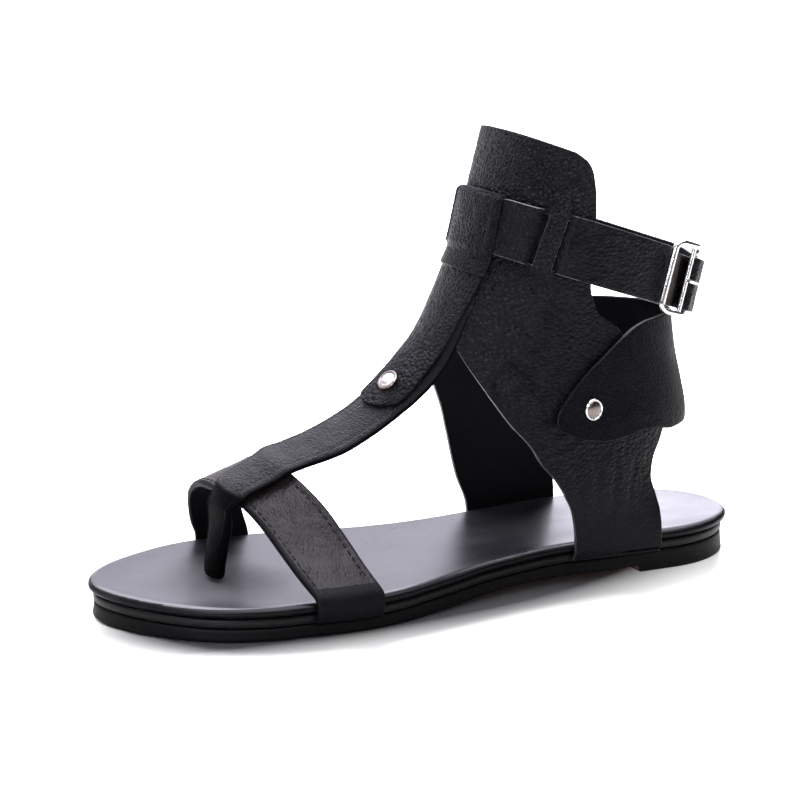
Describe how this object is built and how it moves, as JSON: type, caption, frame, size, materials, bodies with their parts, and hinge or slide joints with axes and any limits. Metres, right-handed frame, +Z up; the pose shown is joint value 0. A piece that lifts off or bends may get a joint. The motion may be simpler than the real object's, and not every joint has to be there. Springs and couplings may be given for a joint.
{
  "type": "flat thong sandal with ankle cuff",
  "caption": "Left flat thong sandal: T-strap, wide cross strap, tall ankle cuff, riveted heel band and buckled ankle strap on a thin layered sole.",
  "frame": {"origin": "on the floor, at the centre of the sandal's outline seen from above", "axes": "+Z up, toe towards -Y, +X the outer side of the left foot"},
  "size_m": [0.0978, 0.25, 0.1642],
  "materials": {
    "black_leather": "black pebbled grain leather, semi-gloss, with long soft creases",
    "footbed_leather": "smooth black leather, glossy",
    "black_rubber": "smooth black rubber",
    "polished_metal": "polished silver metal"
  },
  "bodies": {
    "root": {"outsole": "black_rubber", "midsole": "footbed_leather", "footbed": "footbed_leather", "upper": "black_leather", "tongue": "black_leather", "strap_keeper": "black_leather", "ankle_strap": "black_leather", "heel_band": "black_leather", "buckle_frame": "polished_metal", "buckle_prong": "polished_metal", "rivet_instep": "polished_metal", "rivet_outer": "polished_metal", "rivet_inner": "polished_metal"}
  },
  "joints": []
}
